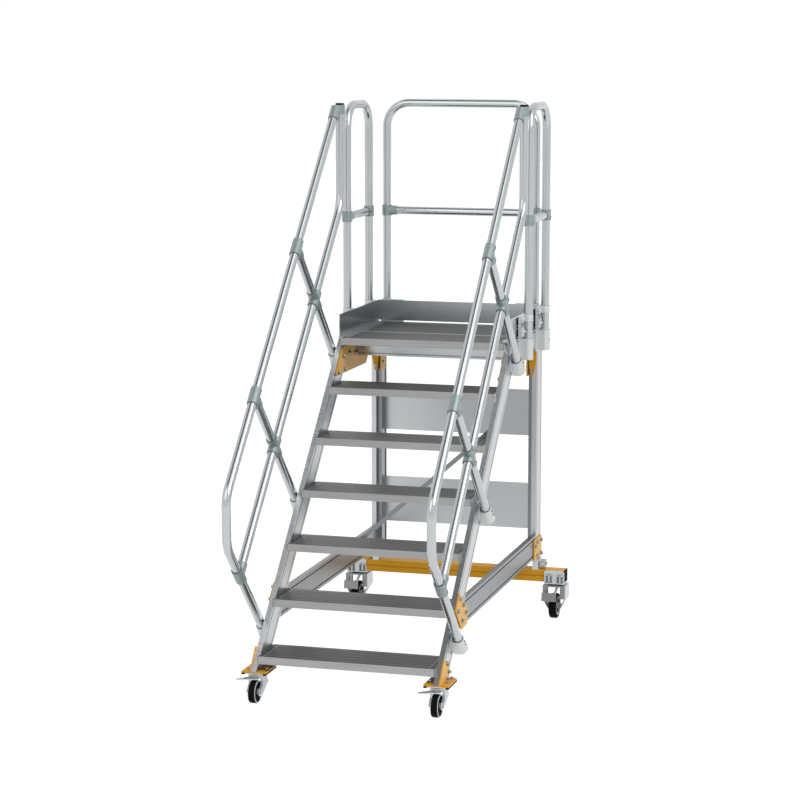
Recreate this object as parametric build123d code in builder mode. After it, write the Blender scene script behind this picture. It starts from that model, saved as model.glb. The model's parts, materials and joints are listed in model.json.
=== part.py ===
# Mobile platform stairs on four braked castors. Millimetres, +Z up, +X to the right of someone
# walking up, +Y away from them. The origin is on the floor, in the middle of the overall box.
from build123d import *
import os
from math import atan2, cos, sin, tan

os.makedirs("parts", exist_ok=True)

# Flight of stairs
RISE = 208.0
GOING = 208.0
TREADS = 6
STAIR_WIDTH = 800.0
TREAD_DEPTH = 225.0
TREAD_HEIGHT = 34.0
TREAD_SKIN = 5.0
TREAD_LIP = 9.0
RIB_PITCH = 12.5
RIB_GROOVE = 3.5
RIB_GROOVE_DEPTH = 2.0
SLOPE = atan2(RISE, GOING)

# The grooved extrusion of the stringers, base rails and columns
BEAM_THICK = 24.0
BEAM_DEPTH = 113.5
GROOVE_WIDTH = 6.0
GROOVE_DEPTH = 4.0
GROOVE_INSET = 14.0
STRINGER_SETBACK = 31.0
STRINGER_DROP = 8.0

# Platform
NOSING_OVERHANG = 10.0
NOSING_DEPTH = 24.0
DECK_LENGTH = 699.0
FRONT_PLANK = 258.0
DECK_THICK = 33.0
FRAME_HEIGHT = 94.0
FRAME_SETBACK = 45.5
FRAME_GROOVE_DROP = 6.0
FRAME_GROOVE = 5.0
CROSS_BEAM_DEPTH = 24.0
CROSS_BEAM_DROP = 16.0
CROSS_BEAM_SETBACK = 224.0
REAR_CROSS_HEIGHT = 50.0

# Toe boards: flanged sheet at the sides, plain sheet at the back
TOE_HEIGHT = 108.0
TOE_THICK = 9.0
TOE_SHEET = 3.0
TOE_FLANGE = 2.5
TOE_FLANGE_DROPS = (0.0, 41.0, 54.0, 95.0)
TOE_FOOT = 40.0
TOE_SETBACK = 39.0
SEAT_GAP = 0.3
BACK_BOARD_THICK = 5.0
BACK_BOARD_GAP = 7.0

# Rail tubes and their fittings
TUBE_R = 20.0
TUBE_WALL = 2.5
TUBE_FIT = 0.15
RAIL_STANDOFF = 26.5
HAND_ABOVE = 700.5
KNEE_ABOVE = 330.0
LEG_ABOVE = 544.0
RAIL_BEND = 110.0
KNEE_BEND = 150.0
LOW_POST = 207.0
MIDDLE_POST = 889.5
UPPER_POST = 1732.5
KNEE_TOP_SETBACK = 162.75
RAIL_TOP = 1098.0
HAND_SHORT = 66.0
FITTING_R = 25.0
STUB_R = 24.0
SLEEVE_LENGTH = 84.0
STUB_LENGTH = 58.0
TOP_SLEEVE = 45.0
TOP_SOCKET = 62.0
POST_GAP = 30.0
CUP_R = 45.0
CUP_PLATE = 6.0
CUP_ABOVE = -107.0
CUP_MOUTH = -80.0
CUP_LOW = -165.0
CUP_LOW_R = 31.0
CUP_FLOOR = 6.0
PLUG_THICK = 8.0

# Hoops round the platform
HOOP_STANDOFF = 27.4
HOOP_FRONT_POST = 281.0
HOOP_REAR_INSET = 51.0
HOOP_TOP = 1091.0
HOOP_BEND = 115.0
BACK_HOOP_INSET = 43.4
MID_RAIL = 557.0
HOOP_SLEEVE = 52.0
HOOP_STUB = 52.0
HOOP_MOUTH_R = 22.5
HOLDER_R = 25.0
HOLDER_HEIGHT = 102.0
HOLDER_BELOW = 108.0
HOLDER_FLOOR = 5.0
HOLDER_PLATE = 4.0
HOLDER_RING_R = 22.6
CLAMP_START = 1.0
CLAMP_LENGTH = 72.0
CLAMP_THICK = 17.0
CLAMP_ROWS = (
    # height of the lower edge above the deck, height of the clamp
    (9.0, 45.0), (78.0, 33.0),
)

# Rear support
COLUMN_OVERHANG = 11.5
COLUMN_FOOT = 293.0
COLUMN_INNER = 22.0
COLUMN_STEP = 25.0
SLOT_SETBACK = 54.0
SLOT_DEPTH = 11.0
PANEL_THICK = 18.0
PANEL_HEIGHT = 229.0
PANEL_GAP = 0.3
PANEL_LOW = 440.0
PANEL_HIGH = 911.0
BASE_RAIL_FOOT = 310.5
BRACE_SIZE = 22.0
BRACE_WALL = 4.0
BRACE_FOOT_SETBACK = 275.0
BRACE_FOOT_UP = 94.5
BRACE_HEAD_ALONG = 1359.0
BRACE_HEAD_ABOVE = -120.0

# Yellow plates and the wide rear beam
PLATE = 6.0
HEAD_BRACKET_HEIGHT = 141.0
HEAD_BRACKET_REACH = 70.0
FOOT_BRACKET_REACH = 46.0
FOOT_BRACKET_BELOW = 9.0
FOOT_BRACKET_DROP = 18.0
REAR_BEAM_OVERHANG = 160.0
REAR_BEAM_DEPTH = 76.0
REAR_BEAM_LOW = 182.0
REAR_BEAM_HEIGHT = 59.0
CAP_THICK = 4.0
CLAMP_BLOCK_OUT = 6.0
KNOB_R = 23.0
KNOB_THICK = 24.0
KNOB_NECK = 8.0
KNOB_NECK_R = 10.0
KNOB_LOBES = 6
KNOB_SCALLOP_R = 8.0

# Front castor plates
FRONT_PLATE_TOP = 142.0
FRONT_PLATE_WIDTH = 112.0
FRONT_PLATE_FRONT = -20.0
FRONT_PLATE_REAR = 125.0
STRIP_WIDTH = 13.0
STRIP_HEIGHT = 8.0

# Castors. Heels are y and z from the axle, from the top of a leg's rear edge to its lower end.
AXLE_FIT = 0.05
TYRE_FIT = 0.15
SWIVEL_GAP = 0.3
RACE_HEIGHT = 7.0
RACE_SHARE = 0.7
WHEEL_GAP = 5.0
AXLE_NUT = 8.0
REAR_PLATE_X = 101.0
BRACKET_ROUND = 10.0
REAR_HALF = STAIR_WIDTH / 2 + REAR_BEAM_OVERHANG
REAR_SWIVEL = TREADS * GOING - NOSING_OVERHANG + DECK_LENGTH + COLUMN_OVERHANG - REAR_BEAM_DEPTH / 2
FRONT_CASTOR = dict(
    x=STAIR_WIDTH / 2 + BEAM_THICK / 2, swivel_y=40.0, trail=45.0, top=FRONT_PLATE_TOP - PLATE,
    plate_x=80.0, plate_y=110.0, plate=6.0, crown_r=38.5, crown=15.0, reach=32.0, waist=80.0,
    leg=3.0, flare=0.0, flange_in=3.0, flange_out=9.0, heel_flange=0.0, axle_foot=19.0,
    heel=((92.0, 48.0), (117.0, 23.0), (36.0, -19.0), (0.0, -19.0)),
    axle_r=5.0, pin_r=6.0, hub_r=13.0, rim_r=36.0, wheel_r=50.0, width=33.0, tyre=29.0, tyre_round=2.0,
    disc=2.0, disc_low=25.0, disc_high=48.5)
REAR_CASTOR = dict(
    x=REAR_HALF + CAP_THICK - REAR_PLATE_X / 2, swivel_y=REAR_SWIVEL, trail=28.0, top=REAR_BEAM_LOW,
    plate_x=REAR_PLATE_X, plate_y=92.0, plate=8.0, crown_r=50.0, crown=8.0, reach=50.0, waist=100.0,
    leg=4.0, flare=29.0, flange_in=26.0, flange_out=0.0, heel_flange=8.0, axle_foot=20.0,
    heel=((78.0, 37.5), (20.0, 0.0)),
    axle_r=6.0, pin_r=8.0, hub_r=16.0, rim_r=45.0, wheel_r=62.5, width=38.0, tyre=38.0, tyre_round=7.0,
    disc=1.0, disc_low=39.0, disc_high=45.0)

# Where the first tread's nose lies, so that the overall box is centred on the origin
FRONT_REACH = LOW_POST * cos(SLOPE) - LEG_ABOVE * sin(SLOPE) - TUBE_R
DECK_FRONT = TREADS * GOING - NOSING_OVERHANG
BACK_WALL = DECK_FRONT + DECK_LENGTH + BACK_BOARD_THICK
REAR_REACH = BACK_WALL + HOOP_STANDOFF + HOLDER_R
NOSE_Y = -(FRONT_REACH + REAR_REACH) / 2

# Places worked out from the sizes above
HALF = STAIR_WIDTH / 2
OUTER = HALF + BEAM_THICK
RAIL_X = OUTER + RAIL_STANDOFF
DECK_TOP = RISE * (TREADS + 1)
DECK_LOW = DECK_TOP - DECK_THICK
FRAME_LOW = DECK_TOP - FRAME_HEIGHT
DECK_Y = NOSE_Y + DECK_FRONT
FRAME_Y = DECK_Y + FRAME_SETBACK
DECK_REAR = DECK_Y + DECK_LENGTH
WALL_X = OUTER
TOE_WEB_X = WALL_X - TOE_THICK
TOE_FOOT_X = TOE_WEB_X - TOE_FOOT
HOOP_X = WALL_X + HOOP_STANDOFF
HOOP_Y = DECK_Y + HOOP_FRONT_POST
HOOP_REAR_Y = DECK_REAR - HOOP_REAR_INSET
BACK_Y = NOSE_Y + BACK_WALL
BACK_HOOP_X = WALL_X - BACK_HOOP_INSET
BACK_HOOP_Y = BACK_Y + HOOP_STANDOFF
COLUMN_REAR = DECK_REAR + COLUMN_OVERHANG
COLUMN_FRONT = COLUMN_REAR - BEAM_DEPTH
STRINGER_REAR = STRINGER_SETBACK + BEAM_DEPTH
SOCKET_R = TUBE_R + TUBE_FIT
SKY = DECK_TOP * 3
SIDES = (("left", -1), ("right", 1))


def on_stair(along, above):
    """Y and Z of a point along the line of the tread noses and square above it."""
    y = NOSE_Y + along * cos(SLOPE) - above * sin(SLOPE)
    z = RISE + along * sin(SLOPE) + above * cos(SLOPE)
    return y, z


def beside(x, along, above):
    """The same point in the vertical plane at x."""
    return (x, *on_stair(along, above))


def incline_y(above, z):
    """Y where the line at that height above the noses reaches the level z."""
    along = (z - RISE - above * cos(SLOPE)) / sin(SLOPE)
    return on_stair(along, above)[0]


def add_plate(plane, points, thickness, mode=Mode.ADD):
    """A flat plate with straight edges, drawn on the plane and thickened along its normal."""
    with BuildSketch(plane) as outline:
        with BuildLine():
            Polyline(*points, close=True)
        make_face()
    extrude(outline.sketch, amount=thickness, mode=mode)


def add_box(low, high, mode=Mode.ADD):
    """A block between two opposite corners."""
    size = [b - a for a, b in zip(low, high)]
    with BuildSketch(Plane(origin=[(a + b) / 2 for a, b in zip(low[:2], high[:2])] + [low[2]])) as foot:
        Rectangle(size[0], size[1])
    extrude(foot.sketch, amount=size[2], mode=mode)


def add_side_box(side, near, far, low, high, mode=Mode.ADD):
    """A block on one side, from one distance from the middle plane to another; low and high are (y, z)."""
    inner, outer = sorted((side * near, side * far))
    add_box((inner, *low), (outer, *high), mode)


def add_bar(start, end, radius, mode=Mode.ADD):
    """A round bar from one point to another."""
    run = Vector(*end) - Vector(*start)
    with BuildSketch(Plane(origin=start, z_dir=run)) as disc:
        Circle(radius)
    extrude(disc.sketch, amount=run.length, mode=mode)


def add_taper(start, end, start_r, end_r):
    """A round bar whose radius changes evenly from one end to the other."""
    run = Vector(*end) - Vector(*start)
    with Locations(Plane(origin=start, z_dir=run)):
        Cone(start_r, end_r, run.length, align=(Align.CENTER, Align.CENTER, Align.MIN))


def add_tube(points, bend=None):
    """A round rail tube along straight runs, joined by bends where it turns."""
    with BuildLine() as path:
        if bend:
            FilletPolyline(*points, radius=bend)
        else:
            Line(*points)
    with BuildSketch(Plane(origin=path.line @ 0, z_dir=path.line % 0)) as ring:
        Circle(TUBE_R)
        Circle(TUBE_R - TUBE_WALL, mode=Mode.SUBTRACT)
    sweep(ring.sketch, path=path.line)


def add_beam(side, start, end):
    """The grooved extrusion between two points given as (y, z), standing outside the stairway."""
    run = Vector(0, end[0] - start[0], end[1] - start[1])
    with BuildSketch(Plane(origin=(side * (HALF + BEAM_THICK / 2), *start), x_dir=(1, 0, 0), z_dir=run)) as section:
        Rectangle(BEAM_THICK, BEAM_DEPTH)
        with GridLocations(BEAM_THICK, BEAM_DEPTH - 2 * GROOVE_INSET - GROOVE_WIDTH, 2, 2):
            Rectangle(2 * GROOVE_DEPTH, GROOVE_WIDTH, mode=Mode.SUBTRACT)
    extrude(section.sketch, amount=run.length)


def keep(builder, name):
    """Label a finished piece and write its file."""
    builder.part.label = name
    export_step(builder.part, f"parts/{name}.step")


# Stringers: inclined beams, level at the foot and stepped at the top for the platform's side frames
FOOT_Z = FRONT_PLATE_TOP
for side_name, side in SIDES:
    with BuildPart() as stringer:
        middle = -(STRINGER_SETBACK + BEAM_DEPTH / 2)
        reach = DECK_TOP / sin(SLOPE)
        add_beam(side, on_stair(-reach / 4, middle), on_stair(reach, middle))
        add_box((-SKY, -SKY, -SKY), (SKY, SKY, FOOT_Z), Mode.SUBTRACT)
        add_box((-SKY, FRAME_Y, FRAME_LOW), (SKY, SKY, SKY), Mode.SUBTRACT)
        add_box((-SKY, -SKY, DECK_TOP - STRINGER_DROP), (SKY, SKY, SKY), Mode.SUBTRACT)
    keep(stringer, f"stringer_{side_name}")


def tread_profile(y, z, depth, height):
    """Closed outline of a ribbed tread seen from the side, with its nose at (y, z)."""
    ribs = int((depth - 2 * TREAD_LIP) / RIB_PITCH)
    points = [(y, z - height), (y, z)]
    for rib in range(ribs):
        groove = y + TREAD_LIP + rib * RIB_PITCH
        points += [(groove, z), (groove, z - RIB_GROOVE_DEPTH)]
        points += [(groove + RIB_GROOVE, z - RIB_GROOVE_DEPTH), (groove + RIB_GROOVE, z)]
    points += [(y + depth, z), (y + depth, z - height)]
    points += [(y + depth - TREAD_LIP, z - height), (y + depth - TREAD_LIP, z - RIB_GROOVE_DEPTH - TREAD_SKIN)]
    points += [(y + TREAD_LIP, z - RIB_GROOVE_DEPTH - TREAD_SKIN), (y + TREAD_LIP, z - height)]
    return points


def add_tread(y, z, depth, height):
    """A ribbed channel across the stairway, with a closing plate at each end."""
    across = Plane.YZ.offset(-HALF)
    add_plate(across, tread_profile(y, z, depth, height), STAIR_WIDTH)
    ends = [(y, z - height), (y, z - RIB_GROOVE_DEPTH), (y + depth, z - RIB_GROOVE_DEPTH), (y + depth, z - height)]
    add_plate(across, ends, TREAD_SKIN)
    add_plate(Plane.YZ.offset(HALF - TREAD_SKIN), ends, TREAD_SKIN)


# Treads
for step in range(TREADS):
    with BuildPart() as tread:
        add_tread(NOSE_Y + step * GOING, (step + 1) * RISE, TREAD_DEPTH, TREAD_HEIGHT)
    keep(tread, f"tread_{step + 1}")

# Platform: nosing, two planks, the cross beams under them and the grooved side frames. The planks are
# a little lower at their ends, where the feet of the toe boards lie on them.
PLANK_FRONT = DECK_Y + NOSING_DEPTH
PLANK_JOINT = PLANK_FRONT + FRONT_PLANK
with BuildPart() as nosing:
    add_box((-HALF, DECK_Y, DECK_LOW), (HALF, PLANK_FRONT, DECK_TOP))
keep(nosing, "platform_nosing")

for name, low_y, high_y in (("deck_front", PLANK_FRONT, PLANK_JOINT), ("deck_rear", PLANK_JOINT, DECK_REAR)):
    with BuildPart() as plank:
        add_tread(low_y, DECK_TOP, high_y - low_y, DECK_THICK)
        for _, side in SIDES:
            add_side_box(
                side, TOE_FOOT_X - SEAT_GAP, HALF, (low_y, DECK_TOP - SEAT_GAP), (high_y, DECK_TOP), Mode.SUBTRACT)
    keep(plank, name)

# A deep beam between the yellow gussets carries the front plank; the rear one is joined to the back fascia
DECK_SKIN_LOW = DECK_TOP - RIB_GROOVE_DEPTH - TREAD_SKIN
MIDDLE_BEAM_Y = DECK_Y + CROSS_BEAM_SETBACK
MIDDLE_BEAM_LOW = FRAME_LOW - CROSS_BEAM_DROP
GUSSET_X = HALF - PLATE
with BuildPart() as cross_beams:
    add_box((-GUSSET_X, MIDDLE_BEAM_Y, MIDDLE_BEAM_LOW), (GUSSET_X, MIDDLE_BEAM_Y + CROSS_BEAM_DEPTH, DECK_SKIN_LOW))
    groove_low = MIDDLE_BEAM_LOW + GROOVE_INSET
    add_box(
        (-GUSSET_X, MIDDLE_BEAM_Y, groove_low), (GUSSET_X, MIDDLE_BEAM_Y + GROOVE_DEPTH, groove_low + GROOVE_WIDTH),
        Mode.SUBTRACT)
    add_box((-HALF, DECK_REAR - CROSS_BEAM_DEPTH, DECK_LOW - REAR_CROSS_HEIGHT), (HALF, DECK_REAR, DECK_LOW))
    add_box((-WALL_X, DECK_REAR, FRAME_LOW), (WALL_X, BACK_Y, DECK_TOP))
keep(cross_beams, "platform_cross_beams")

with BuildPart() as side_frames:
    for _, side in SIDES:
        add_side_box(side, HALF, WALL_X, (FRAME_Y, FRAME_LOW), (DECK_REAR, DECK_TOP))
        groove_top = DECK_TOP - FRAME_GROOVE_DROP
        add_side_box(
            side, WALL_X - GROOVE_DEPTH, WALL_X, (FRAME_Y, groove_top - FRAME_GROOVE), (DECK_REAR, groove_top),
            Mode.SUBTRACT)
keep(side_frames, "side_frames")

# Toe boards: at the sides a web with outward flanges and a foot on the deck, at the back a plain sheet
TOE_TOP = DECK_TOP + TOE_HEIGHT
with BuildPart() as toe_boards:
    for _, side in SIDES:
        front = (DECK_Y + TOE_SETBACK, DECK_TOP)
        add_side_box(side, TOE_WEB_X, TOE_WEB_X + TOE_SHEET, front, (DECK_REAR, TOE_TOP))
        add_side_box(side, TOE_FOOT_X, WALL_X, front, (DECK_REAR, DECK_TOP + TOE_SHEET))
        for drop in TOE_FLANGE_DROPS:
            top = TOE_TOP - drop
            add_side_box(side, TOE_WEB_X, WALL_X, (front[0], top - TOE_FLANGE), (DECK_REAR, top))
keep(toe_boards, "toe_boards_side")

with BuildPart() as toe_board_back:
    add_box((-WALL_X, DECK_REAR, DECK_TOP + BACK_BOARD_GAP), (WALL_X, BACK_Y, TOE_TOP))
keep(toe_board_back, "toe_board_back")

# Columns: the same extrusion upright, with an inner box and a slot that holds the panels
STEP_Y = COLUMN_FRONT + COLUMN_STEP
INNER_X = HALF - COLUMN_INNER
SLOT_LOW = STEP_Y + SLOT_SETBACK
SLOT_HIGH = SLOT_LOW + PANEL_THICK + 2 * PANEL_GAP
for side_name, side in SIDES:
    with BuildPart() as column:
        centre_y = COLUMN_REAR - BEAM_DEPTH / 2
        add_beam(side, (centre_y, COLUMN_FOOT), (centre_y, FRAME_LOW))
        add_side_box(side, INNER_X, HALF, (STEP_Y, COLUMN_FOOT), (COLUMN_REAR, FRAME_LOW))
        add_side_box(
            side, INNER_X, INNER_X + SLOT_DEPTH, (SLOT_LOW, COLUMN_FOOT), (SLOT_HIGH, FRAME_LOW), Mode.SUBTRACT)
    keep(column, f"column_{side_name}")

PANEL_HALF = INNER_X + SLOT_DEPTH - PANEL_GAP
with BuildPart() as panels:
    for low_z in (PANEL_LOW, PANEL_HIGH):
        add_box((-PANEL_HALF, SLOT_LOW + PANEL_GAP, low_z), (PANEL_HALF, SLOT_HIGH - PANEL_GAP, low_z + PANEL_HEIGHT))
keep(panels, "panels")

# Base rails from the stringers' rear faces to the columns
BASE_TOP = BASE_RAIL_FOOT + BEAM_DEPTH
with BuildPart() as base_rails:
    for _, side in SIDES:
        level = BASE_RAIL_FOOT + BEAM_DEPTH / 2
        add_beam(side, (incline_y(-STRINGER_REAR, BASE_RAIL_FOOT), level), (COLUMN_FRONT, level))
        wedge = [(incline_y(-STRINGER_REAR, z), z) for z in (BASE_RAIL_FOOT - BEAM_DEPTH, BASE_TOP + BEAM_DEPTH)]
        wedge.append((wedge[0][0] - 2 * BEAM_DEPTH, wedge[1][1]))
        add_plate(Plane.YZ.offset(side * (HALF - 1)), wedge, side * (BEAM_THICK + 2), Mode.SUBTRACT)
keep(base_rails, "base_rails")

# Diagonal brace: an angle section between the left base rail and the right stringer
with BuildPart() as brace:
    start = Vector(-HALF, COLUMN_FRONT - BRACE_FOOT_SETBACK, BASE_RAIL_FOOT + BRACE_FOOT_UP)
    end = Vector(*beside(HALF, BRACE_HEAD_ALONG, BRACE_HEAD_ABOVE))
    run = (end - start).normalized()
    spare = run * (2 * BRACE_SIZE)
    with BuildSketch(Plane(origin=start - spare, x_dir=Vector(0, 0, 1).cross(run), z_dir=run)):
        Rectangle(BRACE_SIZE, BRACE_SIZE)
        with Locations((BRACE_WALL, -BRACE_WALL)):
            Rectangle(BRACE_SIZE, BRACE_SIZE, mode=Mode.SUBTRACT)
    extrude(amount=(end - start + spare * 2).length)
    add_box((-SKY, -SKY, -SKY), (-HALF, SKY, SKY), Mode.SUBTRACT)
    add_box((HALF, -SKY, -SKY), (SKY, SKY, SKY), Mode.SUBTRACT)
keep(brace, "brace")

# Yellow gusset plates: inside under the platform, outside at the foot of the stringers
UPPER_GUSSET = (
    # y from the platform's front, height above the frame's underside
    (-82.0, -78.0), (405.0, -78.0), (431.0, -52.0), (431.0, 51.0), (24.0, 51.0), (-88.0, -64.0),
)
LOWER_GUSSET = (
    # y from the first nose, height above the base rail's underside
    (315.0, 158.5), (448.0, 69.5), (450.0, -4.5), (352.0, -10.5), (246.0, 93.5),
)
with BuildPart() as upper_gussets:
    outline = [(DECK_Y + y, FRAME_LOW + z) for y, z in UPPER_GUSSET]
    for _, side in SIDES:
        add_plate(Plane.YZ.offset(side * GUSSET_X), outline, side * PLATE)
keep(upper_gussets, "upper_gussets")

with BuildPart() as lower_gussets:
    outline = [(NOSE_Y + y, BASE_RAIL_FOOT + z) for y, z in LOWER_GUSSET]
    for _, side in SIDES:
        add_plate(Plane.YZ.offset(side * OUTER), outline, side * PLATE)
keep(lower_gussets, "lower_gussets")

# Column brackets: tapered angles at the heads of the columns, and plates on the outside of their feet
HEAD_BRACKET_FACE = (
    # distance out from the column's inner side, drop below the frame
    (-PLATE, 0.0), (COLUMN_INNER + BEAM_THICK, 0.0), (COLUMN_INNER + BEAM_THICK - 2.0, 59.0),
    (27.0, HEAD_BRACKET_HEIGHT), (14.0, HEAD_BRACKET_HEIGHT), (6.0, 59.0), (-PLATE, 22.0),
)
with BuildPart() as column_brackets:
    for _, side in SIDES:
        face = [(side * (INNER_X + out), FRAME_LOW - drop) for out, drop in HEAD_BRACKET_FACE]
        add_plate(Plane.XZ.offset(-COLUMN_FRONT), face, PLATE)
        add_side_box(
            side, INNER_X - PLATE, INNER_X, (COLUMN_FRONT - PLATE, FRAME_LOW - HEAD_BRACKET_HEIGHT),
            (COLUMN_FRONT + HEAD_BRACKET_REACH, FRAME_LOW))
        add_side_box(
            side, OUTER, OUTER + PLATE, (COLUMN_FRONT - FOOT_BRACKET_REACH, BASE_RAIL_FOOT - FOOT_BRACKET_BELOW),
            (COLUMN_REAR, BASE_TOP - FOOT_BRACKET_DROP))
keep(column_brackets, "column_brackets")

# Rear beam with its end caps, and the blocks with star knobs that clamp the column feet to it
BEAM_Y = NOSE_Y + REAR_SWIVEL
BEAM_TOP = REAR_BEAM_LOW + REAR_BEAM_HEIGHT
BEAM_FRONT = BEAM_Y - REAR_BEAM_DEPTH / 2
BEAM_REAR = BEAM_FRONT + REAR_BEAM_DEPTH
with BuildPart() as rear_beam:
    with BuildSketch(Plane.YZ.offset(-REAR_HALF)):
        with Locations((BEAM_Y, REAR_BEAM_LOW + REAR_BEAM_HEIGHT / 2)):
            Rectangle(REAR_BEAM_DEPTH, REAR_BEAM_HEIGHT)
            with GridLocations(REAR_BEAM_DEPTH, 0, 2, 1):
                Rectangle(2 * GROOVE_DEPTH, GROOVE_WIDTH, mode=Mode.SUBTRACT)
    extrude(amount=2 * REAR_HALF)
keep(rear_beam, "rear_beam")

with BuildPart() as beam_caps:
    for _, side in SIDES:
        add_side_box(side, REAR_HALF, REAR_HALF + CAP_THICK, (BEAM_FRONT, REAR_BEAM_LOW), (BEAM_REAR, BEAM_TOP))
keep(beam_caps, "beam_caps")

CLAMP_FACE = OUTER + CLAMP_BLOCK_OUT
with BuildPart() as clamp_blocks:
    for _, side in SIDES:
        add_side_box(side, HALF, CLAMP_FACE, (BEAM_FRONT, BEAM_TOP), (BEAM_REAR, COLUMN_FOOT))
        knob = Plane(origin=(side * CLAMP_FACE, BEAM_Y, (BEAM_TOP + COLUMN_FOOT) / 2), z_dir=(side, 0, 0))
        with BuildSketch(knob):
            Circle(KNOB_NECK_R)
        extrude(amount=KNOB_NECK)
        with BuildSketch(knob.offset(KNOB_NECK)):
            Circle(KNOB_R)
            with PolarLocations(KNOB_R + KNOB_SCALLOP_R / 2, KNOB_LOBES):
                Circle(KNOB_SCALLOP_R, mode=Mode.SUBTRACT)
        extrude(amount=KNOB_THICK)
keep(clamp_blocks, "clamp_blocks")

# Stair rails: a bent handrail and a knee rail a side
KNEE_TOP = DECK_Y + KNEE_TOP_SETBACK
TOP_Z = DECK_TOP + RAIL_TOP
POST_FOOT = CUP_LOW + CUP_FLOOR
hand_low = on_stair(LOW_POST, LEG_ABOVE)
hand_turn = (hand_low[0], hand_low[1] + (HAND_ABOVE - LEG_ABOVE) / cos(SLOPE))


def on_handrail(x, y):
    """The point of the handrail's upper run at y."""
    return (x, y, hand_turn[1] + (y - hand_turn[0]) * tan(SLOPE))


HAND_END = KNEE_TOP - HAND_SHORT
knee_turn = (KNEE_TOP, on_stair(0, KNEE_ABOVE)[1] + (KNEE_TOP - on_stair(0, KNEE_ABOVE)[0]) * tan(SLOPE))
for side_name, side in SIDES:
    x = side * RAIL_X
    with BuildPart() as handrail:
        foot = beside(x, LOW_POST, POST_FOOT)
        add_tube([foot, (x, *hand_low), (x, *hand_turn), on_handrail(x, HAND_END)], RAIL_BEND)
    keep(handrail, f"handrail_{side_name}")
    with BuildPart() as knee_rail:
        add_tube([beside(x, LOW_POST + POST_GAP, KNEE_ABOVE), (x, *knee_turn), (x, KNEE_TOP, TOP_Z)], KNEE_BEND)
    keep(knee_rail, f"knee_rail_{side_name}")

# Posts: from the cups to the knee rail and on to the handrail
POST_RUNS = ((POST_FOOT, KNEE_ABOVE - POST_GAP), (KNEE_ABOVE + POST_GAP, HAND_ABOVE - POST_GAP))
with BuildPart() as posts:
    for _, side in SIDES:
        for along in (MIDDLE_POST, UPPER_POST):
            for low, high in POST_RUNS:
                add_tube([beside(side * RAIL_X, along, low), beside(side * RAIL_X, along, high)])
keep(posts, "rail_posts")

# Fittings where the stair rails' tubes meet: sleeves along one tube with sockets for the others
HALF_SLEEVE = SLEEVE_LENGTH / 2
TOP_MOUTH = HAND_END - TOP_SOCKET * cos(SLOPE)


def add_tee(x, along, above, ends):
    """A sleeve round an inclined rail, with a socket for a post at each listed end."""
    sleeve = beside(x, along - HALF_SLEEVE, above), beside(x, along + HALF_SLEEVE, above)
    add_bar(*sleeve, FITTING_R)
    for end in ends:
        add_bar(beside(x, along, above), beside(x, along, above + end * STUB_LENGTH), STUB_R)
        add_bar(
            beside(x, along, above + end * POST_GAP), beside(x, along, above + end * STUB_LENGTH), SOCKET_R,
            Mode.SUBTRACT)
    add_bar(*sleeve, SOCKET_R, Mode.SUBTRACT)


def add_knee_start(x):
    """The sleeve on the handrail's leg that the knee rail starts from."""
    sleeve = beside(x, LOW_POST, KNEE_ABOVE - HALF_SLEEVE), beside(x, LOW_POST, KNEE_ABOVE + HALF_SLEEVE)
    mouth = beside(x, LOW_POST + STUB_LENGTH, KNEE_ABOVE)
    add_bar(*sleeve, FITTING_R)
    add_bar(beside(x, LOW_POST, KNEE_ABOVE), mouth, STUB_R)
    add_bar(beside(x, LOW_POST + POST_GAP, KNEE_ABOVE), mouth, SOCKET_R, Mode.SUBTRACT)
    add_bar(*sleeve, SOCKET_R, Mode.SUBTRACT)


def add_top_sleeve(x):
    """The sleeve on the knee rail's upright end, and the socket of the arm that takes the handrail."""
    add_bar((x, KNEE_TOP, TOP_Z - TOP_SLEEVE), (x, KNEE_TOP, TOP_Z), FITTING_R)
    add_bar((x, KNEE_TOP, DECK_TOP), (x, KNEE_TOP, SKY), SOCKET_R, Mode.SUBTRACT)
    add_bar(on_handrail(x, TOP_MOUTH), on_handrail(x, HAND_END), SOCKET_R, Mode.SUBTRACT)


with BuildPart() as fittings:
    for _, side in SIDES:
        add_bar(on_handrail(side * RAIL_X, TOP_MOUTH), on_handrail(side * RAIL_X, KNEE_TOP), STUB_R)
    add_box((-SKY, -SKY, TOP_Z), (SKY, SKY, SKY), Mode.SUBTRACT)
    add_box((-SKY, KNEE_TOP, -SKY), (SKY, SKY, SKY), Mode.SUBTRACT)
    for _, side in SIDES:
        for along in (MIDDLE_POST, UPPER_POST):
            add_tee(side * RAIL_X, along, HAND_ABOVE, (-1,))
            add_tee(side * RAIL_X, along, KNEE_ABOVE, (-1, 1))
        add_knee_start(side * RAIL_X)
        add_top_sleeve(side * RAIL_X)
keep(fittings, "rail_fittings")

with BuildPart() as plugs:
    for _, side in SIDES:
        add_bar((side * RAIL_X, KNEE_TOP, TOP_Z), (side * RAIL_X, KNEE_TOP, TOP_Z + PLUG_THICK), TUBE_R)
keep(plugs, "rail_plugs")

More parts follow.
